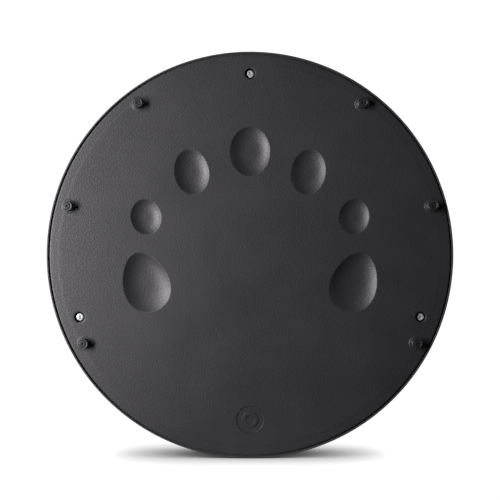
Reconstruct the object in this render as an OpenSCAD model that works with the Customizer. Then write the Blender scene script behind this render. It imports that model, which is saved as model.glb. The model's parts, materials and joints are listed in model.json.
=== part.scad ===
// Shallow round hand drum of the bodhran family with a closed, moulded back.
// It stands upright on its rim: Z = 0 is the surface below it, the head faces
// +Y and the back faces -Y. The origin lies below the middle of its depth.
// Every module draws its piece on the drum's axis, lying with the back up, in
// the drum's own axes: x across, y up the back, z from the head to the back.
// upright() then stands it up.

/* [Drum] */
// Diameter over the outer wrap
drum_d = 406; // [400:1:412]
// Depth from the face of the head to the face of the back plate
drum_depth = 56; // [52:1:80]
// Height of the feet above the back plate
foot_h = 8; // [6:0.5:12]

/* [Frame and head] */
// Thickness of the bent plywood frame
frame_t = 9; // [7:0.5:10]
// Thickness of the wrap round the frame
wrap_t = 1.6; // [1.2:0.1:2]
// Thickness of the hoop over the turned-down edge of the head
hoop_t = 2.4; // [2.2:0.1:3]
// Width of that hoop along the drum's axis
hoop_w = 12; // [10:0.5:14]
// Thickness of the head
head_t = 0.7; // [0.5:0.1:1]
// Radius of the rounded bearing edge
bearing_r = 5.2; // [4:0.1:6]

/* [Back plate] */
// Thickness of the back plate
plate_t = 3.2; // [2.8:0.1:4]
// Open gap between the back plate and the wrap
plate_gap = 1.4; // [1:0.1:2]
// Width of the lowered border round the back plate
border_w = 11; // [8:0.5:12]
// Height of the shallow step down to the border
border_drop = 0.15; // [0.05:0.05:0.4]
// Thickness of the foam gasket under the back plate
gasket_t = 1; // [0.8:0.1:1.5]

/* [Finger hollows] */
// Depth of the hollow for the middle finger
middle_depth = 4.5; // [3:0.1:6]
// Depth of the hollows for the ring and index fingers
ring_depth = 3.8; // [3:0.1:6]
// Depth of the small hollows at the sides
little_depth = 3.5; // [2.5:0.1:5]
// Depth of the thumb hollows
thumb_depth = 5; // [4:0.1:7]

/* [Screws and feet] */
// Distance of the cover screws from the inside of the frame
screw_inset = 11.3; // [10.5:0.1:13]
// Diameter of the counterbores of the cover screws
counterbore_d = 10.4; // [9:0.1:11]
// Distance of the middles of the feet from the inside of the frame
foot_inset = 4.8; // [4.6:0.1:6]
// Diameter of a foot
foot_d = 10; // [9:0.1:11]

/* [Hidden] */

fine = 180;   // facets of the large rings
small = 48;   // facets of screws, feet and their holes
eps = 0.01;   // overlap of joined shapes
fit = 0.1;    // glue line or clearance between two pieces

// Levels along the drum's axis
head_z = -(drum_depth + foot_h) / 2;
face_z = head_z + drum_depth;
foot_top_z = face_z + foot_h;
plate_under_z = face_z - plate_t;
frame_back_z = plate_under_z - gasket_t;
crest_z = head_z + head_t + fit;
arc_z = crest_z + bearing_r;
collar_end_z = arc_z + hoop_w;

// Radii of the rings
outer_r = drum_d / 2;
wrap_in_r = outer_r - wrap_t;
frame_out_r = wrap_in_r - fit;
frame_in_r = frame_out_r - frame_t;
hoop_in_r = outer_r - hoop_t;
collar_out_r = hoop_in_r - fit;
collar_in_r = collar_out_r - head_t;
front_out_r = collar_in_r - fit;
arc_r = front_out_r - bearing_r;
plate_r = wrap_in_r - plate_gap;
screw_circle_r = frame_in_r - screw_inset;
foot_circle_r = frame_in_r - foot_inset;

// Edges and border of the back plate
wrap_edge_drop = 0.2;   // the wrap's back edge lies this far below the face
edge_round = 0.6;       // rounding of the wrap's back edge
hoop_round = 1.2;       // rounding of the hoop's front edge
plate_edge_r = 1.2;     // rounding of the plate's rim
border_fall = 0.35;     // fall of the rounded border from its step to the rim
step_w = 4;             // width of the step down to the border
border_steps = 11;      // bands across the border

// Stiffening ribs inside the back plate
rib_count = 12;
rib_t = 2;
rib_h = 5;
rib_hub_r = 24;
rib_end_r = 168;

// Finger hollows: centre x, centre y, half width, half length, taper, lean, depth
// They lie in mirrored pairs, apart from the middle one.
middle = [0, 103.2, 19.8, 24.5, 0, 0, middle_depth];
ring = [58.3, 82.9, 17.1, 22.6, 0.03, -10, ring_depth];
little = [103.8, 38.1, 15, 17.6, 0.03, -12, little_depth];
thumb = [104.3, -27, 22.8, 30.3, 0.18, -18.5, thumb_depth];
hollow_wall = 2.6;      // thickness of the cup behind a hollow
hollow_steps = 16;      // bands along a hollow

// Plain ring-and-dot emblem pressed into the back
emblem_y = -164.3;
emblem_r = 13.5;
emblem_line = 5.5;
emblem_dot_r = 4.5;
emblem_depth = 0.7;

// Cover screws: 3.9 mm self-tapping pan heads
screw_angles = [90, 200, 340];
drive_angles = [20, 0, 45];
seat_depth = 5;         // from the face to the seat of the screw head
screw_head_d = 7.5;
screw_head_h = 2.6;
screw_d = 3.8;
screw_l = 16;
screw_hole_d = 4.4;
boss_d = 15;
boss_floor = 2.2;       // plastic under the screw head
drive_w = 1;
drive_l = 4.2;
drive_depth = 1.5;

// Blocks glued into the frame, which the cover screws enter
block_w = 24;
block_depth_r = 20;
block_h = 14;

// Feet: rubber pegs held by nylon rivets
foot_angles = [53.5, 126.5, 165, 208, 332, 15];
foot_pad_d = 14.2;
foot_pad_h = 0.3;
foot_round = 0.6;
foot_stem_d = 6;
foot_barb_r = 4.4;
foot_barb_h = 3.6;
foot_recess_r = 3.7;
foot_recess_depth = 1.6;
rivet_head_r = 3.5;
rivet_head_h = 1.35;
rivet_r = 1.5;
rivet_hole_r = 0.8;
rivet_hole_depth = 2.5;

// Colours
plastic = [0.09, 0.09, 0.095];
rubber = [0.04, 0.04, 0.04];
zinc = [0.78, 0.78, 0.8];
skin = [0.85, 0.78, 0.64];
plywood = [0.76, 0.6, 0.4];
foam = [0.2, 0.2, 0.21];
nylon = [0.13, 0.13, 0.13];

// A point at a distance r and an angle a from the drum's axis
function polar(r, a) = [r * cos(a), r * sin(a)];

// Points on an arc round (x, y), from angle a to angle b
function arc(x, y, r, a, b, steps = 8) =
    [for (i = [0:steps]) [x, y] + polar(r, a + (b - a) * i / steps)];

// How far the border lies below the face, at a distance beyond its inner edge
function border_fall_at(d) =
    border_drop * (1 - cos(180 * min(d / step_w, 1))) / 2 + border_fall * pow(d / border_w, 2);

// A mirrored copy of a hollow, for the other hand
function mirrored(h) = [-h[0], h[1], h[2], h[3], h[4], -h[5], h[6]];

hollows = [middle, ring, mirrored(ring), little, mirrored(little), thumb, mirrored(thumb)];

// Stands a piece up on the surface, from the drum's own axes
module upright() {
    translate([0, 0, outer_r]) rotate([90, 0, 0]) children();
}

// Turns an outline of radii and heights round the drum's axis
module lathe(outline, facets = fine) {
    rotate_extrude($fn = facets) polygon(outline);
}

// Places children at a distance and an angle from the drum's axis
module around(r, a) {
    rotate([0, 0, a]) translate([r, 0, 0]) children();
}

// Bent plywood frame, stepped for the head and rounded at its bearing edge
module frame_hoop() {
    color(plywood) upright() lathe(concat(
        [[frame_in_r, frame_back_z], [frame_out_r, frame_back_z],
         [frame_out_r, collar_end_z + fit], [front_out_r, collar_end_z + fit]],
        arc(arc_r, arc_z, bearing_r, 0, -90),
        [[frame_in_r, crest_z + arc_r - frame_in_r]]
    ));
}

// Black wrap round the frame, whose edge shows round the back plate
module outer_wrap() {
    wrap_z = face_z - wrap_edge_drop;
    color(plastic) upright() lathe(concat(
        [[wrap_in_r, collar_end_z + 2 * fit], [outer_r, collar_end_z + 2 * fit]],
        arc(outer_r - edge_round, wrap_z - edge_round, edge_round, 0, 90, 5),
        [[wrap_in_r, wrap_z]]
    ));
}

// Hoop over the turned-down edge of the head
module rim_hoop() {
    color(plastic) upright() lathe(concat(
        [[hoop_in_r, collar_end_z], [hoop_in_r, arc_z + fit]],
        arc(outer_r - hoop_round, arc_z + fit + hoop_round, hoop_round, -90, 0, 6),
        [[outer_r, collar_end_z]]
    ));
}

// Head: a flat skin that turns over the bearing edge into a collar
module drum_head() {
    color(skin) upright() lathe(concat(
        [[0, head_z + head_t], [0, head_z]],
        arc(arc_r, arc_z, bearing_r + fit + head_t, -90, 0),
        [[collar_out_r, collar_end_z], [collar_in_r, collar_end_z]],
        arc(arc_r, arc_z, bearing_r + fit, 0, -90)
    ));
}

// Solid that a hollow removes: its outline on the face is an egg, and it is
// round about a line above the face, so that the hollow is deepest in its middle.
// grow makes the larger solid of the cup behind it.
module hollow(h, grow = 0) {
    half_w = h[2] + grow;
    half_l = h[3] + grow;
    depth = h[6] + grow;
    lift = (half_w * half_w - depth * depth) / (2 * depth);
    section = [for (i = [0:hollow_steps])
        let (a = 180 * i / hollow_steps - 90)
        let (w = half_w * cos(a) * (1 - h[4] * sin(a)))
        [sqrt(w * w + lift * lift), half_l * sin(a)]];
    translate([h[0], h[1], face_z + lift])
        rotate([0, 0, h[5]]) rotate([-90, 0, 0])
            lathe(concat([[0, -half_l]], section, [[0, half_l]]), 96);
}

// Disc of the back plate with its lowered border and rounded rim
module plate_disc() {
    step_r = plate_r - border_w;
    round_r = plate_r - plate_edge_r;
    lathe(concat(
        [[0, plate_under_z], [0, face_z]],
        [for (i = [0:border_steps])
            let (r = step_r + (round_r - step_r) * i / border_steps)
            [r, face_z - border_fall_at(r - step_r)]],
        arc(round_r, face_z - border_fall_at(border_w) - plate_edge_r, plate_edge_r, 80, 0, 5),
        [[plate_r, plate_under_z]]
    ));
}

// Ribs that stiffen the back plate inside
module ribs() {
    rib_z = plate_under_z - rib_h;
    for (i = [0:rib_count - 1]) rotate([0, 0, 360 * (i + 0.5) / rib_count])
        translate([rib_hub_r - rib_t / 2, -rib_t / 2, rib_z])
            cube([rib_end_r - rib_hub_r, rib_t, rib_h + eps]);
    translate([0, 0, rib_z]) difference() {
        cylinder(h = rib_h + eps, r = rib_hub_r, $fn = fine);
        translate([0, 0, -eps]) cylinder(h = rib_h, r = rib_hub_r - rib_t, $fn = fine);
    }
}

// Ring and dot of the emblem, as deep as the emblem
module emblem() {
    translate([0, emblem_y, face_z - emblem_depth]) {
        difference() {
            cylinder(h = 2 * emblem_depth, r = emblem_r, $fn = small);
            translate([0, 0, -eps])
                cylinder(h = 2 * emblem_depth + 2 * eps, r = emblem_r - emblem_line, $fn = small);
        }
        cylinder(h = 2 * emblem_depth, r = emblem_dot_r, $fn = small);
    }
}

// Moulded back plate: hollows, counterbored screw bosses, foot pads and emblem
module back_plate() {
    boss_z = face_z - seat_depth - boss_floor;
    color(plastic) upright() difference() {
        union() {
            plate_disc();
            ribs();
            for (h = hollows) intersection() {
                hollow(h, hollow_wall);
                translate([0, 0, head_z]) cylinder(h = plate_under_z + eps - head_z, r = plate_r - border_w);
            }
            for (a = screw_angles) around(screw_circle_r, a) translate([0, 0, boss_z])
                cylinder(h = plate_under_z + eps - boss_z, d = boss_d, $fn = small);
            for (a = foot_angles) around(foot_circle_r, a) translate([0, 0, plate_under_z])
                cylinder(h = plate_t + foot_pad_h, d = foot_pad_d, $fn = small);
        }
        for (h = hollows) hollow(h);
        for (a = screw_angles) around(screw_circle_r, a) {
            translate([0, 0, boss_z - eps])
                cylinder(h = boss_floor + 2 * eps, d = screw_hole_d, $fn = small);
            translate([0, 0, face_z - seat_depth])
                cylinder(h = seat_depth + 1, d = counterbore_d, $fn = small);
        }
        for (a = foot_angles) around(foot_circle_r, a) translate([0, 0, plate_under_z - eps])
            cylinder(h = plate_t + foot_pad_h + 1, d = foot_stem_d + 2 * fit, $fn = small);
        emblem();
    }
}

// Foam gasket on the back edge of the frame, under the back plate
module plate_gasket() {
    gasket_in_r = frame_in_r + 0.8;
    gasket_out_r = frame_out_r;
    color(foam) upright() translate([0, 0, frame_back_z]) difference() {
        cylinder(h = gasket_t, r = gasket_out_r, $fn = fine);
        translate([0, 0, -eps]) cylinder(h = gasket_t + 2 * eps, r = gasket_in_r, $fn = fine);
    }
}

// Block glued inside the frame under a screw boss
module screw_block(a) {
    top_z = face_z - seat_depth - boss_floor - fit;
    color(plywood) upright() rotate([0, 0, a]) difference() {
        intersection() {
            translate([frame_in_r - block_depth_r, -block_w / 2, top_z - block_h])
                cube([block_depth_r, block_w, block_h]);
            translate([0, 0, top_z - block_h]) cylinder(h = block_h, r = frame_in_r - fit, $fn = fine);
        }
        translate([screw_circle_r, 0, top_z - block_h - eps])
            cylinder(h = block_h + 2 * eps, d = screw_d + fit, $fn = small);
    }
}

// Self-tapping pan-head screw with a cross recess turned by drive_a
module cover_screw(a, drive_a) {
    seat_z = face_z - seat_depth;
    head_r = screw_head_d / 2;
    head_side = 1.6;
    head_arc = screw_head_h - head_side;
    tip_h = 2.5;
    color(zinc) upright() around(screw_circle_r, a) translate([0, 0, seat_z]) difference() {
        union() {
            lathe(concat(
                [[0, 0], [head_r, 0], [head_r, head_side]],
                [for (i = [1:6]) [head_r * cos(15 * i), head_side + head_arc * sin(15 * i)]]
            ), small);
            lathe([[0, eps], [screw_d / 2, eps], [screw_d / 2, tip_h - screw_l], [0, -screw_l]], small);
        }
        rotate([0, 0, drive_a]) for (turn = [0, 90]) rotate([0, 0, turn])
            translate([-drive_l / 2, -drive_w / 2, screw_head_h - drive_depth])
                cube([drive_l, drive_w, drive_depth + 1]);
    }
}

// Rubber peg pressed through the back plate, hollow for its rivet
module foot(a) {
    pad_z = face_z + foot_pad_h;
    barb_z = plate_under_z - fit;
    bore_r = rivet_r + fit;
    r = foot_d / 2;
    color(rubber) upright() around(foot_circle_r, a) lathe(concat(
        [[bore_r, barb_z - foot_barb_h], [foot_stem_d / 2 - 0.6, barb_z - foot_barb_h],
         [foot_barb_r, barb_z], [foot_stem_d / 2, barb_z], [foot_stem_d / 2, pad_z], [r, pad_z]],
        arc(r - foot_round, foot_top_z - foot_round, foot_round, 0, 90, 5),
        [[foot_recess_r, foot_top_z], [foot_recess_r, foot_top_z - foot_recess_depth],
         [bore_r, foot_top_z - foot_recess_depth]]
    ), small);
}

// Nylon rivet that spreads a foot behind the back plate
module foot_rivet(a) {
    seat_z = foot_top_z - foot_recess_depth;
    top_z = seat_z + rivet_head_h;
    tip_z = plate_under_z - foot_barb_h;
    color(nylon) upright() around(foot_circle_r, a) lathe([
        [0, tip_z], [rivet_r - 0.5, tip_z], [rivet_r, tip_z + 0.8], [rivet_r, seat_z],
        [rivet_head_r, seat_z], [rivet_head_r, top_z], [rivet_hole_r, top_z],
        [rivet_hole_r, top_z - rivet_hole_depth], [0, top_z - rivet_hole_depth]
    ], small);
}

frame_hoop();
outer_wrap();
rim_hoop();
drum_head();
back_plate();
plate_gasket();
screw_block(screw_angles[0]);  // screw_block_top
screw_block(screw_angles[1]);  // screw_block_left
screw_block(screw_angles[2]);  // screw_block_right
cover_screw(screw_angles[0], drive_angles[0]);  // cover_screw_top
cover_screw(screw_angles[1], drive_angles[1]);  // cover_screw_left
cover_screw(screw_angles[2], drive_angles[2]);  // cover_screw_right
foot(foot_angles[0]);  // foot_1
foot(foot_angles[1]);  // foot_2
foot(foot_angles[2]);  // foot_3
foot(foot_angles[3]);  // foot_4
foot(foot_angles[4]);  // foot_5
foot(foot_angles[5]);  // foot_6
foot_rivet(foot_angles[0]);  // foot_rivet_1
foot_rivet(foot_angles[1]);  // foot_rivet_2
foot_rivet(foot_angles[2]);  // foot_rivet_3
foot_rivet(foot_angles[3]);  // foot_rivet_4
foot_rivet(foot_angles[4]);  // foot_rivet_5
foot_rivet(foot_angles[5]);  // foot_rivet_6
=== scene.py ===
"""Closed-back round hand drum, seen from behind.

The drum stands on its rim, with its back facing -Y. Most pieces are built in
the drum's own axes, in millimetres: x across, y up the back, and z along the
drum's axis from the head to the back. to_frame() turns them into the frame's
metres.
"""
import json
import math
from collections import namedtuple

import bpy
import numpy as np
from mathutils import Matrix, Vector
from mathutils.geometry import delaunay_2d_cdt


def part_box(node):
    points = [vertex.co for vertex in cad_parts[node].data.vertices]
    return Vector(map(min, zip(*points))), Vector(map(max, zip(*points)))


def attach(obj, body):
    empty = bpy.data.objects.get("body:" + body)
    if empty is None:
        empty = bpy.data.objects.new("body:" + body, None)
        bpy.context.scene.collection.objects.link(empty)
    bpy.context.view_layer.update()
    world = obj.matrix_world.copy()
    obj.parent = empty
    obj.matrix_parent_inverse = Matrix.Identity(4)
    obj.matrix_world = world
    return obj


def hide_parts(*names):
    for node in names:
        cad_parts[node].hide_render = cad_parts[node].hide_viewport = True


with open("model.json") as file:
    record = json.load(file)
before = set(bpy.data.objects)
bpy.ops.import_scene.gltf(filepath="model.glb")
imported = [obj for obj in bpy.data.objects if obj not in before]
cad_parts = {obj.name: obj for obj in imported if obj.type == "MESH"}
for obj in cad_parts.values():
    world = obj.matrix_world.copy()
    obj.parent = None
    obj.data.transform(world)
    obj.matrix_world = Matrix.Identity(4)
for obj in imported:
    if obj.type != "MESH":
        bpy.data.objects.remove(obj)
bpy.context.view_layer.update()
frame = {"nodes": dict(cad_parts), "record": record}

MM = 0.001
TAU = 2 * math.pi


# ---------------------------------------------------------------- sizes, from the frame

def box_mm(node):
    """Lowest and highest corner of a CAD node, in millimetres."""
    low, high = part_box(node)
    return np.array(low) / MM, np.array(high) / MM


wrap_low, wrap_high = box_mm("outer_wrap")
hoop_low, hoop_high = box_mm("rim_hoop")
head_low, head_high = box_mm("drum_head")
plate_low, plate_high = box_mm("back_plate")
foot_low, foot_high = box_mm("foot_1")
gasket_low = box_mm("plate_gasket")[0]
screw_high = box_mm("cover_screw_top")[1]

FOOT_PAD_H = 0.3
OUTER_R = (wrap_high[2] - wrap_low[2]) / 2
AXIS_H = (wrap_high[2] + wrap_low[2]) / 2
PLATE_R = (plate_high[2] - plate_low[2]) / 2
COLLAR_R = (head_high[2] - head_low[2]) / 2
FOOT_TOP = -foot_low[1]
FOOT_END = -foot_high[1]
SCREW_END = -screw_high[1]
FACE = -plate_low[1] - FOOT_PAD_H
PLATE_UNDER = -gasket_low[1]
HEAD_FRONT = -head_high[1]
COLLAR_END = -hoop_low[1]
HOOP_FRONT = -hoop_high[1]
WRAP_BACK = -wrap_low[1]
WRAP_FRONT = -wrap_high[1]


# ---------------------------------------------------------------- sizes the boxes don't give

FIT = 0.1    # glue line or clearance between two pieces

# Wrap, hoop and head
WRAP_T = 1.6
WRAP_BACK_ROUND = 0.6
WRAP_FRONT_ROUND = 0.3
WRAP_INNER_ROUND = 0.2
HOOP_T = 2.4
HOOP_SEAM_ROUND = 0.3
HEAD_T = 0.7
HEAD_RINGS = (30, 70, 110, 145, 170, 185)
BEARING_R = 5.2

# Back plate
BORDER_W = 11.0
BORDER_DROP = 0.1
BORDER_FALL = 0.25
STEP_W = 4.0
PLATE_EDGE_R = 0.7
HOLLOW_WALL = 2.6

# Screws and their bosses in the plate
SEAT_DEPTH = 5.0
BOSS_FLOOR = 2.2
BOSS_R = 7.5
COUNTERBORE_R = 5.2
COUNTERBORE_LIP = 0.45
SCREW_HOLE_R = 2.2
SCREW_R = 1.9
SCREW_POINT_H = 2.5
SCREW_HEAD_R = 3.75
SCREW_HEAD_H = 2.6
SCREW_HEAD_ROUND = 0.8
SCREW_HEAD_EDGE = 0.15
SCREW_SIDE_H = 1.4
SCREW_SHOULDER_H = 1.6
SCREW_TURNS = {"top": 20, "left": 3, "right": 48}

# Cross recess: half length and half width at three levels against the head's top
CROSS_LEVELS = ((2.45, 0.66, 0.5), (2.3, 0.6, -0.4), (0.9, 0.4, -1.9))

# Feet, with their pads on the plate, and the rivets in them
FOOT_PAD_BASE_R = 7.2
FOOT_PAD_SLOPE_W = 0.5
FOOT_R = 5.0
FOOT_ROUND = 0.4
FOOT_FLARE = 0.3
FOOT_ROOT_DEPTH = 2.0
FOOT_DISH_R = 3.7
FOOT_DISH_DEPTH = 1.6
FOOT_STEM_R = 3.0
FOOT_BARB_R = 4.4
FOOT_BARB_TIP_R = 2.4
FOOT_BARB_H = 3.6
RIVET_R = 1.5
RIVET_TIP_R = 1.0
RIVET_TIP_H = 0.8
RIVET_HEAD_R = 3.5
RIVET_HEAD_H = 1.35
RIVET_ROUND = 0.1
RIVET_HOLE_R = 0.8
RIVET_HOLE_ROUND = 0.2
RIVET_HOLE_DEPTH = 1.9

# Plain ring-and-dot emblem
EMBLEM_Y = -164.3
EMBLEM_RADII = (13.5, 8.0, 4.5)
EMBLEM_DEPTH = 0.7
EMBLEM_WALL = 0.5

# Finger hollows: middle, half width, half length, taper, lean in degrees, depth, and
# how flat the floor is (2 is a plain bowl)
Hollow = namedtuple("Hollow", "x y half_w half_l taper lean depth power")
MIDDLE = Hollow(0, 103.2, 19.8, 24.5, 0, 0, 4.5, 3.2)
RING = Hollow(58.3, 82.9, 17.1, 22.6, 0.03, -10, 3.8, 2.8)
LITTLE = Hollow(103.8, 38.1, 15, 17.6, 0.03, -12, 3.5, 2.9)
THUMB = Hollow(104.3, -27, 22.8, 30.3, 0.18, -18.5, 5, 2.8)
HOLLOW_LIP = 0.35
TAPER_LIMIT = 1.3


def mirrored(hollow):
    """The same hollow for the other hand."""
    return hollow._replace(x=-hollow.x, lean=-hollow.lean)


HOLLOWS = [MIDDLE, RING, mirrored(RING), LITTLE, mirrored(LITTLE), THUMB, mirrored(THUMB)]

# Where the plate's rings of points lie: shares of a hollow's outline and radii round a
# foot, both closest together where the face bends, and the number of points in a ring
HOLLOW_RINGS = (
    0.06, 0.14, 0.22, 0.3, 0.38, 0.46, 0.54, 0.62, 0.69, 0.75, 0.8,
    0.86, 0.91, 0.945, 0.965, 0.98, 0.99, 1.0, 1.01, 1.02, 1.035, 1.06,
)
FOOT_PAD_RINGS = (6.2, 6.7, 6.8, 6.9, 7.0, 7.1, 7.2, 7.5)
BORDER_POINTS = 512
HOLLOW_POINTS = 112
EMBLEM_POINTS = 96
HOLE_POINTS = 64

# Facets round the turned pieces
HOOP_SEGMENTS = 720
HEAD_SEGMENTS = 360
FOOT_SEGMENTS = 64
RIVET_SEGMENTS = 40
SCREW_SEGMENTS = 64


def centre_of(node):
    """Where the middle of a node lies on the back, in the drum's own axes."""
    low, high = box_mm(node)
    return np.array([(low[0] + high[0]) / 2, (low[2] + high[2]) / 2 - AXIS_H])


SCREWS = {name: centre_of(f"cover_screw_{name}") for name in SCREW_TURNS}
FEET = {i: centre_of(f"foot_{i}") for i in range(1, 7)}


# ---------------------------------------------------------------- mesh helpers

SHARP_ANGLE = math.radians(35)


def to_frame(points):
    """Points in the drum's own axes and millimetres, as points in the frame."""
    p = np.asarray(points, dtype=float)
    return np.column_stack([p[:, 0], -p[:, 2], p[:, 1] + AXIS_H]) * MM


def add_piece(name, points, faces, node_names, slot):
    """Makes a smooth-shaded piece that rides on the drum and replaces CAD nodes."""
    mesh = bpy.data.meshes.new(name)
    mesh.from_pydata(to_frame(points).tolist(), [], [list(map(int, f)) for f in faces])
    mesh.validate()
    mesh.shade_smooth()
    mesh.set_sharp_from_angle(angle=SHARP_ANGLE)
    mesh.materials.append(MATERIALS[slot])
    obj = bpy.data.objects.new(name, mesh)
    bpy.context.scene.collection.objects.link(obj)
    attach(obj, "root")
    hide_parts(*node_names)
    return obj


def arc(cx, cz, r, start, end, steps):
    """Points (radius, height) on an arc, from start to end in degrees."""
    angles = np.radians(np.linspace(start, end, steps + 1))
    return [(cx + r * math.cos(a), cz + r * math.sin(a)) for a in angles]


def lathe(profile, segments, centre=(0, 0), closed=True):
    """Turns (radius, height) points round an axis. A closed profile is a ring's
    section; an open one starts and ends on the axis."""
    points, rings = [], []
    for r, z in profile:
        first = len(points)
        if r == 0:
            points.append((centre[0], centre[1], z))
            rings.append([first] * segments)
            continue
        for k in range(segments):
            a = TAU * k / segments
            points.append((centre[0] + r * math.cos(a), centre[1] + r * math.sin(a), z))
        rings.append(list(range(first, first + segments)))
    pairs = list(zip(rings, rings[1:]))
    if closed:
        pairs.append((rings[-1], rings[0]))
    faces = []
    for low, high in pairs:
        for k in range(segments):
            n = (k + 1) % segments
            corners = [low[k], low[n], high[n], high[k]]
            face = [c for i, c in enumerate(corners) if c != corners[i - 1]]
            if len(face) > 2:
                faces.append(face)
    return points, faces


# ---------------------------------------------------------------- materials

# Places of the colour sockets among a Mix node's inputs and outputs
MIX_COLOUR_A = 6
MIX_COLOUR_B = 7
MIX_COLOUR_RESULT = 2


def new_material(name):
    """A material with a Principled shader. Returns it, its node tree and the shader."""
    mat = bpy.data.materials.new(name)
    mat.use_nodes = True
    return mat, mat.node_tree, mat.node_tree.nodes["Principled BSDF"]


def noise(tree, scale, detail=3, rough=0.5, stretch=None):
    """A noise texture in the frame's metres, stretched along an axis if asked."""
    coord = tree.nodes.new("ShaderNodeTexCoord")
    node = tree.nodes.new("ShaderNodeTexNoise")
    node.inputs["Scale"].default_value = scale
    node.inputs["Detail"].default_value = detail
    node.inputs["Roughness"].default_value = rough
    source = coord.outputs["Object"]
    if stretch:
        mapping = tree.nodes.new("ShaderNodeMapping")
        mapping.inputs["Scale"].default_value = stretch
        tree.links.new(source, mapping.inputs["Vector"])
        source = mapping.outputs["Vector"]
    tree.links.new(source, node.inputs["Vector"])
    return node.outputs["Fac"]


def ramp(tree, source, stops):
    """A colour ramp over source. stops is [(position, colour), ...]."""
    node = tree.nodes.new("ShaderNodeValToRGB")
    elements = node.color_ramp.elements
    while len(elements) < len(stops):
        elements.new(0.5)
    for element, (position, colour) in zip(elements, stops):
        element.position = position
        element.color = (*colour, 1)
    tree.links.new(source, node.inputs["Fac"])
    return node.outputs["Color"]


def to_range(tree, source, low, high, from_low=0.3, from_high=0.7):
    """source, mapped from one range of values to another."""
    node = tree.nodes.new("ShaderNodeMapRange")
    node.inputs["From Min"].default_value = from_low
    node.inputs["From Max"].default_value = from_high
    node.inputs["To Min"].default_value = low
    node.inputs["To Max"].default_value = high
    tree.links.new(source, node.inputs["Value"])
    return node.outputs["Result"]


def bump(tree, source, height, under=None):
    """A bump of that height in metres, over another bump if given."""
    node = tree.nodes.new("ShaderNodeBump")
    node.inputs["Distance"].default_value = height
    tree.links.new(source, node.inputs["Height"])
    if under:
        tree.links.new(under, node.inputs["Normal"])
    return node.outputs["Normal"]


def moulded_plastic(name, colour, rough, grain_mm, grain_height_mm):
    """Black moulded plastic with a fine spark-eroded grain and faint handling marks."""
    mat, tree, shader = new_material(name)
    patches = noise(tree, 18, 4)
    light = tuple(c * 1.12 for c in colour)
    dark = tuple(c * 0.9 for c in colour)
    tree.links.new(ramp(tree, patches, [(0.35, dark), (0.65, light)]), shader.inputs["Base Color"])
    smears = noise(tree, 9, 5, 0.6)
    tree.links.new(to_range(tree, smears, rough - 0.03, rough + 0.04), shader.inputs["Roughness"])
    grain = noise(tree, 1 / (grain_mm * MM), 2, 0.6)
    tree.links.new(bump(tree, grain, grain_height_mm * MM), shader.inputs["Normal"])
    shader.inputs["IOR"].default_value = 1.5
    shader.inputs["Specular Tint"].default_value = (0.99, 0.96, 1.0, 1)
    return mat


def satin_rubber(name, colour):
    """Moulded rubber with a dusty, slightly uneven skin."""
    mat, tree, shader = new_material(name)
    dust = noise(tree, 600, 4)
    light = tuple(c * 1.5 for c in colour)
    tree.links.new(ramp(tree, dust, [(0.4, colour), (0.75, light)]), shader.inputs["Base Color"])
    tree.links.new(to_range(tree, dust, 0.34, 0.44), shader.inputs["Roughness"])
    shader.inputs["Specular IOR Level"].default_value = 0.8
    tree.links.new(bump(tree, noise(tree, 4000, 2), 0.02 * MM), shader.inputs["Normal"])
    return mat


def zinc_plate(name):
    """Bright zinc plate with fine turning marks and dull patches."""
    mat, tree, shader = new_material(name)
    shader.inputs["Metallic"].default_value = 0.7
    patches = noise(tree, 900, 3)
    stops = [(0.3, (0.62, 0.62, 0.64)), (0.7, (0.78, 0.78, 0.79))]
    tree.links.new(ramp(tree, patches, stops), shader.inputs["Base Color"])
    tree.links.new(to_range(tree, patches, 0.28, 0.45), shader.inputs["Roughness"])
    tree.links.new(bump(tree, noise(tree, 3000, 2), 0.015 * MM), shader.inputs["Normal"])
    return mat


def goatskin(name):
    """Natural scraped skin: cloudy mottling, streaks and fine pores."""
    mat, tree, shader = new_material(name)
    clouds = noise(tree, 9, 6, 0.62)
    stops = [
        (0.30, (0.60, 0.46, 0.29)),
        (0.43, (0.73, 0.61, 0.43)),
        (0.55, (0.80, 0.71, 0.54)),
        (0.72, (0.85, 0.78, 0.64)),
    ]
    base = ramp(tree, clouds, stops)
    streaks = noise(tree, 30, 5, 0.6, stretch=(1.0, 1.0, 0.12))
    veins = ramp(tree, streaks, [(0.42, (0.80, 0.74, 0.66)), (0.58, (1, 1, 1))])
    mix = tree.nodes.new("ShaderNodeMix")
    mix.data_type = "RGBA"
    mix.blend_type = "MULTIPLY"
    mix.inputs["Factor"].default_value = 0.45
    tree.links.new(base, mix.inputs[MIX_COLOUR_A])
    tree.links.new(veins, mix.inputs[MIX_COLOUR_B])
    tree.links.new(mix.outputs[MIX_COLOUR_RESULT], shader.inputs["Base Color"])
    tree.links.new(to_range(tree, clouds, 0.5, 0.66), shader.inputs["Roughness"])
    pores = bump(tree, noise(tree, 1500, 3), 0.05 * MM)
    tree.links.new(bump(tree, noise(tree, 120, 4), 0.12 * MM, pores), shader.inputs["Normal"])
    shader.inputs["Subsurface Weight"].default_value = 0.15
    shader.inputs["Subsurface Radius"].default_value = (0.004, 0.002, 0.001)
    return mat


def bare_wood(name, light, dark, stretch):
    """Bare wood, whose grain is drawn out along the axes with the smallest stretch."""
    mat, tree, shader = new_material(name)
    grain = noise(tree, 220, 5, 0.6, stretch=stretch)
    tree.links.new(ramp(tree, grain, [(0.35, dark), (0.65, light)]), shader.inputs["Base Color"])
    tree.links.new(to_range(tree, grain, 0.6, 0.78), shader.inputs["Roughness"])
    tree.links.new(bump(tree, grain, 0.08 * MM), shader.inputs["Normal"])
    return mat


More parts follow.
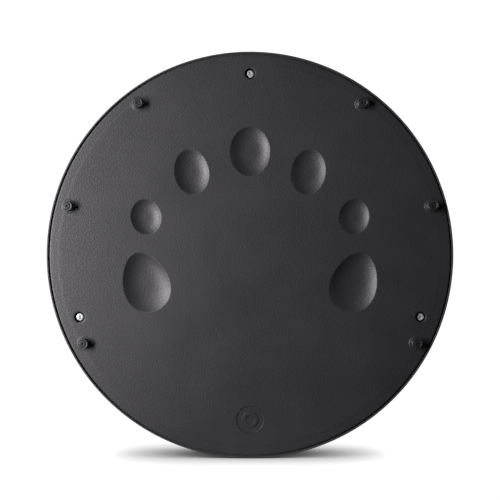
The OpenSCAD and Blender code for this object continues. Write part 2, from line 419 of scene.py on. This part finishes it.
def closed_foam(name):
    """Dark closed-cell foam."""
    mat, tree, shader = new_material(name)
    cells = tree.nodes.new("ShaderNodeTexVoronoi")
    cells.inputs["Scale"].default_value = 2500
    coord = tree.nodes.new("ShaderNodeTexCoord")
    tree.links.new(coord.outputs["Object"], cells.inputs["Vector"])
    stops = [(0.0, (0.02, 0.02, 0.02)), (0.8, (0.05, 0.05, 0.052))]
    tree.links.new(ramp(tree, cells.outputs["Distance"], stops), shader.inputs["Base Color"])
    tree.links.new(bump(tree, cells.outputs["Distance"], 0.1 * MM), shader.inputs["Normal"])
    shader.inputs["Roughness"].default_value = 0.85
    return mat


MATERIALS = {
    "back_plastic": moulded_plastic(
        "back_plastic", (0.0125, 0.0118, 0.0135), rough=0.48, grain_mm=1.6, grain_height_mm=0.24),
    "wrap_black": moulded_plastic(
        "wrap_black", (0.020, 0.020, 0.021), rough=0.55, grain_mm=0.9, grain_height_mm=0.03),
    "hoop_black": moulded_plastic(
        "hoop_black", (0.018, 0.018, 0.019), rough=0.45, grain_mm=0.35, grain_height_mm=0.02),
    "rivet_nylon": moulded_plastic(
        "rivet_nylon", (0.010, 0.010, 0.0105), rough=0.38, grain_mm=0.5, grain_height_mm=0.01),
    "foot_rubber": satin_rubber("foot_rubber", (0.009, 0.009, 0.0095)),
    "screw_zinc": zinc_plate("screw_zinc"),
    "head_skin": goatskin("head_skin"),
    "frame_plywood": bare_wood(
        "frame_plywood", light=(0.58, 0.42, 0.25), dark=(0.42, 0.28, 0.15), stretch=(0.15, 1, 0.15)),
    "block_wood": bare_wood(
        "block_wood", light=(0.60, 0.45, 0.28), dark=(0.45, 0.31, 0.17), stretch=(1, 0.12, 1)),
    "gasket_foam": closed_foam("gasket_foam"),
}


# ---------------------------------------------------------------- back plate

def smoothstep(t):
    """A smooth rise from 0 to 1 as t goes from 0 to 1."""
    t = np.clip(t, 0, 1)
    return t * t * (3 - 2 * t)


def border_level(r):
    """Level of the plain plate at a distance from its middle, against its face."""
    beyond = np.maximum(r - PLATE_R + BORDER_W, 0)
    level = -BORDER_DROP * smoothstep(beyond / STEP_W) - BORDER_FALL * (beyond / BORDER_W) ** 2
    turn = np.clip((r - PLATE_R + PLATE_EDGE_R) / PLATE_EDGE_R, 0, 1)
    return level - PLATE_EDGE_R * (1 - np.sqrt(1 - turn * turn))


def narrowing(hollow, v):
    """The share of its full width that a tapered hollow has a distance v along it."""
    return 1 - hollow.taper * np.clip(v / hollow.half_l, -TAPER_LIMIT, TAPER_LIMIT)


def hollow_q(hollow, x, y):
    """0 in the middle of a hollow and 1 on its outline."""
    a = math.radians(hollow.lean)
    dx = x - hollow.x
    dy = y - hollow.y
    u = dx * math.cos(a) + dy * math.sin(a)
    v = -dx * math.sin(a) + dy * math.cos(a)
    return np.sqrt((u / (hollow.half_w * narrowing(hollow, v))) ** 2 + (v / hollow.half_l) ** 2)


def hollow_level(hollow, x, y):
    """Level of the plate in and round a hollow, with a softly rounded lip."""
    q = np.minimum(hollow_q(hollow, x, y), 1.5)
    sunk = hollow.depth * (1 - q ** hollow.power)
    lip = HOLLOW_LIP
    soft = (sunk + lip) ** 2 / (4 * lip)
    return -np.where(sunk > lip, sunk, np.where(sunk < -lip, 0, soft))


def emblem_level(x, y):
    """Level of the pressed ring and dot."""
    r = np.hypot(x, y - EMBLEM_Y)
    outer, inner, dot = EMBLEM_RADII
    half = EMBLEM_WALL / 2
    in_outer = smoothstep((outer + half - r) / EMBLEM_WALL)
    out_inner = smoothstep((r - inner + half) / EMBLEM_WALL)
    in_dot = smoothstep((dot + half - r) / EMBLEM_WALL)
    return -EMBLEM_DEPTH * np.maximum(in_outer * out_inner, in_dot)


def plate_level(x, y):
    """Level of the whole outer face of the plate, against its flat face."""
    level = border_level(np.hypot(x, y))
    for hollow in HOLLOWS:
        level = level + hollow_level(hollow, x, y)
    level = level + emblem_level(x, y)
    for cx, cy in FEET.values():
        r = np.hypot(x - cx, y - cy)
        on_pad = smoothstep((FOOT_PAD_BASE_R - r) / FOOT_PAD_SLOPE_W)
        level = level + (FOOT_PAD_H - level) * on_pad
    lip = COUNTERBORE_LIP
    for cx, cy in SCREWS.values():
        fall = np.clip((COUNTERBORE_R + lip - np.hypot(x - cx, y - cy)) / lip, 0, 1)
        level = level - lip * (1 - np.sqrt(1 - fall * fall))
    return level


def circle(cx, cy, r, count):
    """A ring of evenly spaced points."""
    a = TAU * np.arange(count) / count
    return np.column_stack([cx + r * np.cos(a), cy + r * np.sin(a)])


def hollow_ring(hollow, q):
    """A ring of points where hollow_q is q."""
    t = TAU * np.arange(HOLLOW_POINTS) / HOLLOW_POINTS
    v = hollow.half_l * q * np.sin(t)
    u = hollow.half_w * q * np.cos(t) * narrowing(hollow, v)
    a = math.radians(hollow.lean)
    return np.column_stack([hollow.x + u * math.cos(a) - v * math.sin(a),
                            hollow.y + u * math.sin(a) + v * math.cos(a)])


def border_radii():
    """Radii of the rings of points on the border, closest together at the rim."""
    step_r = PLATE_R - BORDER_W
    radii = [step_r - 0.3, *np.linspace(step_r, step_r + STEP_W, 9)]
    radii += list(np.linspace(step_r + STEP_W, PLATE_R - PLATE_EDGE_R, 8)[1:-1])
    rim_turns = np.radians([0, 20, 40, 55, 68, 79, 90])
    radii += [PLATE_R - PLATE_EDGE_R * (1 - s) for s in np.sin(rim_turns)]
    return radii


def plate_loops():
    """The rings of points that the plate's face is built on, and the places of those
    at the edge of the plate, of each counterbore and of each screw boss."""
    loops = [circle(0, 0, r, BORDER_POINTS) for r in border_radii()]
    edge = len(loops) - 1
    for hollow in HOLLOWS:
        loops += [hollow_ring(hollow, q) for q in HOLLOW_RINGS]
    for r in EMBLEM_RADII:
        for share in (-0.5, -0.3, -0.1, 0.1, 0.3, 0.5):
            loops.append(circle(0, EMBLEM_Y, r + share * EMBLEM_WALL, EMBLEM_POINTS))
    for cx, cy in FEET.values():
        loops += [circle(cx, cy, r, HOLE_POINTS) for r in FOOT_PAD_RINGS]
    bores, bosses = {}, {}
    for name, (cx, cy) in SCREWS.items():
        for turn in (0, 30, 50, 70, 90):
            r = COUNTERBORE_R + COUNTERBORE_LIP * (1 - math.sin(math.radians(turn)))
            loops.append(circle(cx, cy, r, HOLE_POINTS))
        bores[name] = len(loops) - 1
        loops.append(circle(cx, cy, BOSS_R, HOLE_POINTS))
        bosses[name] = len(loops) - 1
    return loops, edge, bores, bosses


def triangulate(loops):
    """Joins the rings into triangles. Returns the points, the faces, and for each
    ring its points' places in the result."""
    flat = np.vstack(loops)
    edges, first = [], 0
    for loop in loops:
        count = len(loop)
        edges += [(first + k, first + (k + 1) % count) for k in range(count)]
        first += count
    result = delaunay_2d_cdt([Vector(p) for p in flat.tolist()], edges, [], 0, 1e-5)
    points, faces, origins = np.array(result[0]), result[2], result[3]
    place = {}
    for index, sources in enumerate(origins):
        for source in sources:
            place[source] = index
    rings, first = [], 0
    for loop in loops:
        rings.append([place[first + k] for k in range(len(loop))])
        first += len(loop)
    return points, np.array(faces), rings


def strip(faces, low, high):
    """Adds the quads between two rings of the same number of points."""
    count = len(low)
    for k in range(count):
        n = (k + 1) % count
        faces.append([low[k], low[n], high[n], high[k]])


def add_boss(points, faces, centre, face_ring, under_ring):
    """Adds the walls of a counterbore, its screw hole and its boss, which join a
    ring on the plate's face to a ring on its underside."""
    seat = FACE - SEAT_DEPTH
    boss_end = seat - BOSS_FLOOR
    ring = face_ring
    for r, z in ((COUNTERBORE_R, seat), (SCREW_HOLE_R, seat), (SCREW_HOLE_R, boss_end), (BOSS_R, boss_end)):
        lower = list(range(len(points), len(points) + HOLE_POINTS))
        points += [(x, y, z) for x, y in circle(*centre, r, HOLE_POINTS)]
        strip(faces, lower, ring)
        ring = lower
    strip(faces, under_ring, ring)


def make_back_plate():
    """The moulded plate as one closed mesh: its face, its underside with the cups
    behind the hollows, its rim, and the counterbored screw bosses."""
    loops, edge, bores, bosses = plate_loops()
    flat, triangles, rings = triangulate(loops)
    x, y = flat[:, 0], flat[:, 1]
    top = plate_level(x, y)
    cups = sum(hollow_level(hollow, x, y) for hollow in HOLLOWS)
    under = np.minimum(PLATE_UNDER - FACE, cups - HOLLOW_WALL)
    points = [*zip(x, y, FACE + top), *zip(x, y, FACE + under)]
    under_rings = [[i + len(flat) for i in ring] for ring in rings]

    # Triangles outside the rim are left out, and so are those in the screws' holes
    middle = flat[triangles].mean(axis=1)
    keep_top = np.hypot(middle[:, 0], middle[:, 1]) < PLATE_R
    keep_under = keep_top.copy()
    chord = math.cos(math.pi / HOLE_POINTS)
    for cx, cy in SCREWS.values():
        r = np.hypot(middle[:, 0] - cx, middle[:, 1] - cy)
        keep_top &= r > COUNTERBORE_R * chord
        keep_under &= r > BOSS_R * chord
    faces = triangles[keep_top].tolist()
    faces += (triangles[keep_under][:, ::-1] + len(flat)).tolist()

    strip(faces, under_rings[edge], rings[edge])
    for name, centre in SCREWS.items():
        add_boss(points, faces, centre, rings[bores[name]], under_rings[bosses[name]])
    add_piece("back_plate_moulding", points, faces, ["back_plate"], "back_plastic")


# ---------------------------------------------------------------- rings and head

def make_outer_wrap():
    """The black wrap, whose rounded edge shows round the plate."""
    inner = OUTER_R - WRAP_T
    front = WRAP_FRONT_ROUND
    back = WRAP_BACK_ROUND
    lip = WRAP_INNER_ROUND
    profile = [(inner, WRAP_FRONT), (OUTER_R - front, WRAP_FRONT)]
    profile += arc(OUTER_R - front, WRAP_FRONT + front, front, -60, 0, 3)
    profile += arc(OUTER_R - back, WRAP_BACK - back, back, 0, 90, 8)
    profile += arc(inner + lip, WRAP_BACK - lip, lip, 90, 180, 3)
    points, faces = lathe(profile, HOOP_SEGMENTS)
    add_piece("outer_wrap_skin", points, faces, ["outer_wrap"], "wrap_black")


def make_rim_hoop():
    """The hoop over the head's collar, with a rolled front edge."""
    inner = OUTER_R - HOOP_T
    roll = HOOP_T / 2
    seam = HOOP_SEAM_ROUND
    profile = [(inner, COLLAR_END), (inner, HOOP_FRONT + roll)]
    profile += arc(inner + roll, HOOP_FRONT + roll, roll, 180, 360, 16)[1:]
    profile += arc(OUTER_R - seam, COLLAR_END - seam, seam, 0, 90, 3)
    points, faces = lathe(profile, HOOP_SEGMENTS)
    add_piece("rim_hoop_ring", points, faces, ["rim_hoop"], "hoop_black")


def make_drum_head():
    """The skin, flat over the bearing edge and turned down into its collar."""
    inside = BEARING_R + FIT
    outside = inside + HEAD_T
    arc_z = HEAD_FRONT + outside
    arc_r = COLLAR_R - outside
    profile = [(0, HEAD_FRONT)] + [(r, HEAD_FRONT) for r in HEAD_RINGS]
    profile += arc(arc_r, arc_z, outside, -90, 0, 16)
    profile += [(COLLAR_R, COLLAR_END), (COLLAR_R - HEAD_T, COLLAR_END)]
    profile += arc(arc_r, arc_z, inside, 0, -90, 12)
    profile += [(0, HEAD_FRONT + HEAD_T)]
    points, faces = lathe(profile, HEAD_SEGMENTS, closed=False)
    add_piece("drum_head_skin", points, faces, ["drum_head"], "head_skin")


# ---------------------------------------------------------------- feet and screws

def make_foot(number):
    """A rubber peg with a barbed stem, bored and dished for its rivet."""
    bore = RIVET_R + FIT
    barb = FOOT_END + FOOT_BARB_H
    pad = FACE + FOOT_PAD_H
    root = FOOT_R - FOOT_FLARE
    dish = FOOT_DISH_R + FOOT_FLARE
    profile = [(bore, FOOT_END), (FOOT_BARB_TIP_R, FOOT_END), (FOOT_BARB_R, barb), (FOOT_STEM_R, barb)]
    profile += [(FOOT_STEM_R, pad - FOOT_ROOT_DEPTH), (root, pad - FOOT_ROOT_DEPTH), (root, pad - FIT)]
    profile += arc(FOOT_R + FOOT_FLARE, pad + FOOT_FLARE, FOOT_FLARE, 270, 180, 3)
    profile += [(FOOT_R, pad + 2.5), (FOOT_R, FOOT_TOP - 1.0)]
    profile += arc(FOOT_R - FOOT_ROUND, FOOT_TOP - FOOT_ROUND, FOOT_ROUND, 0, 90, 6)
    profile += arc(dish, FOOT_TOP - FOOT_FLARE, FOOT_FLARE, 90, 180, 4)
    profile += [(FOOT_DISH_R, FOOT_TOP - FOOT_DISH_DEPTH), (bore, FOOT_TOP - FOOT_DISH_DEPTH)]
    points, faces = lathe(profile, FOOT_SEGMENTS, FEET[number])
    add_piece(f"foot_{number}_peg", points, faces, [f"foot_{number}"], "foot_rubber")


def make_foot_rivet(number):
    """The rivet in a foot, with a blind hole in its slightly crowned head."""
    tip = FOOT_END + FIT
    seat = FOOT_TOP - FOOT_DISH_DEPTH
    top = seat + RIVET_HEAD_H
    hole = RIVET_HOLE_R + RIVET_HOLE_ROUND
    profile = [(0, tip), (RIVET_TIP_R, tip), (RIVET_R, tip + RIVET_TIP_H), (RIVET_R, seat)]
    profile += [(RIVET_HEAD_R, seat)]
    profile += arc(RIVET_HEAD_R - 0.05, top - RIVET_ROUND, RIVET_ROUND, 0, 80, 3)
    profile += [(2.4, top - 0.03), (1.2, top)]
    profile += arc(hole, top - RIVET_HOLE_ROUND, RIVET_HOLE_ROUND, 90, 180, 3)
    profile += [(RIVET_HOLE_R, top - RIVET_HOLE_DEPTH), (0, top - RIVET_HOLE_DEPTH)]
    points, faces = lathe(profile, RIVET_SEGMENTS, FEET[number], closed=False)
    add_piece(f"foot_{number}_rivet_pin", points, faces, [f"foot_rivet_{number}"], "rivet_nylon")


def cross_cutter(centre, top, turn):
    """The tapered cross of a screwdriver recess: two crossed wedges of three levels."""
    points, faces = [], []
    for angle in (turn, turn + 90):
        a = math.radians(angle)
        along = np.array([math.cos(a), math.sin(a)])
        aside = np.array([-along[1], along[0]])
        first = len(points)
        for half_l, half_w, rise in CROSS_LEVELS:
            for s, t in ((-1, -1), (1, -1), (1, 1), (-1, 1)):
                spot = centre + along * s * half_l + aside * t * half_w
                points.append((spot[0], spot[1], top + rise))
        levels = [list(range(first + 4 * i, first + 4 * i + 4)) for i in range(len(CROSS_LEVELS))]
        for upper, lower in zip(levels, levels[1:]):
            strip(faces, lower, upper)
        faces.append(levels[0])
        faces.append(levels[-1][::-1])
    return points, faces


def cut(obj, points, faces):
    """Cuts a closed shape out of a piece."""
    mesh = bpy.data.meshes.new("cutter")
    mesh.from_pydata(to_frame(points).tolist(), [], faces)
    cutter = bpy.data.objects.new("cutter", mesh)
    bpy.context.scene.collection.objects.link(cutter)
    modifier = obj.modifiers.new("cut", "BOOLEAN")
    modifier.operation = "DIFFERENCE"
    modifier.solver = "EXACT"
    modifier.use_self = True
    modifier.object = cutter
    shape = bpy.data.meshes.new_from_object(obj.evaluated_get(bpy.context.evaluated_depsgraph_get()))
    obj.modifiers.clear()
    obj.data = shape
    shape.set_sharp_from_angle(angle=SHARP_ANGLE)
    bpy.data.objects.remove(cutter)


def make_screw(name):
    """A pan-head screw with a cross recess."""
    centre = SCREWS[name]
    seat = FACE - SEAT_DEPTH
    top = seat + SCREW_HEAD_H
    edge_r = SCREW_HEAD_R - SCREW_HEAD_EDGE
    shoulder_r = SCREW_HEAD_R - SCREW_HEAD_ROUND
    profile = [(0, SCREW_END), (SCREW_R, SCREW_END + SCREW_POINT_H), (SCREW_R, seat), (edge_r, seat)]
    profile += arc(edge_r, seat + SCREW_HEAD_EDGE, SCREW_HEAD_EDGE, -60, 0, 2)
    profile += [(SCREW_HEAD_R, seat + SCREW_SIDE_H)]
    profile += arc(shoulder_r, seat + SCREW_SHOULDER_H, SCREW_HEAD_ROUND, 0, 80, 7)
    profile += [(2.3, top - 0.1), (1.2, top - 0.02), (0, top)]
    points, faces = lathe(profile, SCREW_SEGMENTS, centre, closed=False)
    screw = add_piece(f"cover_screw_{name}_head", points, faces, [f"cover_screw_{name}"], "screw_zinc")
    cut(screw, *cross_cutter(centre, top, SCREW_TURNS[name]))


make_back_plate()
make_outer_wrap()
make_rim_hoop()
make_drum_head()
for foot_number in FEET:
    make_foot(foot_number)
    make_foot_rivet(foot_number)
for screw_name in SCREWS:
    make_screw(screw_name)

# Every CAD node takes its slot's material, for those that are seen in their CAD shape
for subpart in frame["record"]["subparts"]:
    obj = frame["nodes"][subpart["node"]]
    for material_slot in obj.material_slots:
        material_slot.material = MATERIALS[subpart["material_slot"]]


# ---------------------------------------------------------------- stage, light and camera

# In metres
DRUM_MIDDLE = (0, 0, AXIS_H * MM)
FLOOR_R = 2.5
# How far from the drum the painted shade on the floor reaches
FLOOR_PAINTED_SHADE_REACH = 0.045
CAMERA_DISTANCE = 1.024
CAMERA_RAISE = 0.005

LENS_MM = 72.2
SENSOR_MM = 36

# Strength of the white surround, as a light and as what the camera sees
SURROUND_LIGHT = 0.03
SURROUND_SEEN = 1.1

# Softboxes, aimed at the middle of the drum: place, width, height and watts
LIGHTS = {
    "key": ((-0.8, -0.75, 0.32), 0.2, 0.85, 23),
    "side": ((-0.55, -0.35, 0.2), 0.15, 0.15, 1.9),
    "head_key": ((0.9, 1.3, 0.8), 0.8, 0.8, 16),
    "head_fill": ((-1.1, 1.0, 0.5), 0.8, 0.8, 5),
    "rim_fill": ((1.3, 0.15, 0.7), 0.9, 0.9, 12),
}


def make_floor():
    """A round floor that glows white, with shade painted into its glow close to where the drum stands, from
    ambient occlusion rather than from the lamps.
    """
    bpy.ops.mesh.primitive_circle_add(vertices=128, radius=FLOOR_R, fill_type="NGON")
    floor = bpy.context.object
    floor.name = "floor"
    mat, tree, shader = new_material("floor_glow_painted_shade")
    shader.inputs["Base Color"].default_value = (0, 0, 0, 1)
    shader.inputs["Specular IOR Level"].default_value = 0
    # Painted shade: the floor only glows, and ambient occlusion dims that glow next to the drum, so no lamp
    # lights or shades this floor
    painted_shade_ao = tree.nodes.new("ShaderNodeAmbientOcclusion")
    painted_shade_ao.samples = 16
    painted_shade_ao.inputs["Distance"].default_value = FLOOR_PAINTED_SHADE_REACH
    painted_glow = to_range(tree, painted_shade_ao.outputs["AO"], 0.05, 1.08, from_low=0.05, from_high=1.0)
    shader.inputs["Emission Color"].default_value = (1, 1, 1, 1)
    tree.links.new(painted_glow, shader.inputs["Emission Strength"])
    floor.data.materials.append(mat)
    floor.visible_diffuse = False
    floor.visible_glossy = False
    floor.visible_shadow = False


def make_world():
    """A white surround that is brighter to the eye than as a light."""
    world = bpy.data.worlds.new("studio")
    bpy.context.scene.world = world
    world.use_nodes = True
    tree = world.node_tree
    background = tree.nodes["Background"]
    path = tree.nodes.new("ShaderNodeLightPath")
    seen = to_range(tree, path.outputs["Is Camera Ray"], SURROUND_LIGHT, SURROUND_SEEN, 0, 1)
    background.inputs["Color"].default_value = (1, 1, 1, 1)
    tree.links.new(seen, background.inputs["Strength"])


def add_light(name, place, width, height, watts):
    """A softbox that points at the middle of the drum and can't be seen itself."""
    data = bpy.data.lights.new(name, "AREA")
    data.shape = "RECTANGLE"
    data.size = width
    data.size_y = height
    data.energy = watts
    light = bpy.data.objects.new(name, data)
    light.location = place
    aim = Vector(DRUM_MIDDLE) - Vector(place)
    light.rotation_euler = aim.to_track_quat("-Z", "Y").to_euler()
    light.visible_camera = False
    bpy.context.scene.collection.objects.link(light)


def make_camera():
    """A level camera a metre behind the drum."""
    data = bpy.data.cameras.new("camera")
    data.sensor_width = SENSOR_MM
    data.lens = LENS_MM
    camera = bpy.data.objects.new("camera", data)
    camera.location = (0, -CAMERA_DISTANCE, AXIS_H * MM + CAMERA_RAISE)
    camera.rotation_euler = (math.radians(90), 0, 0)
    bpy.context.scene.collection.objects.link(camera)
    bpy.context.scene.camera = camera


make_floor()
make_world()
for light_name, light_values in LIGHTS.items():
    add_light(light_name, *light_values)
make_camera()
bpy.context.scene.view_settings.view_transform = "Standard"
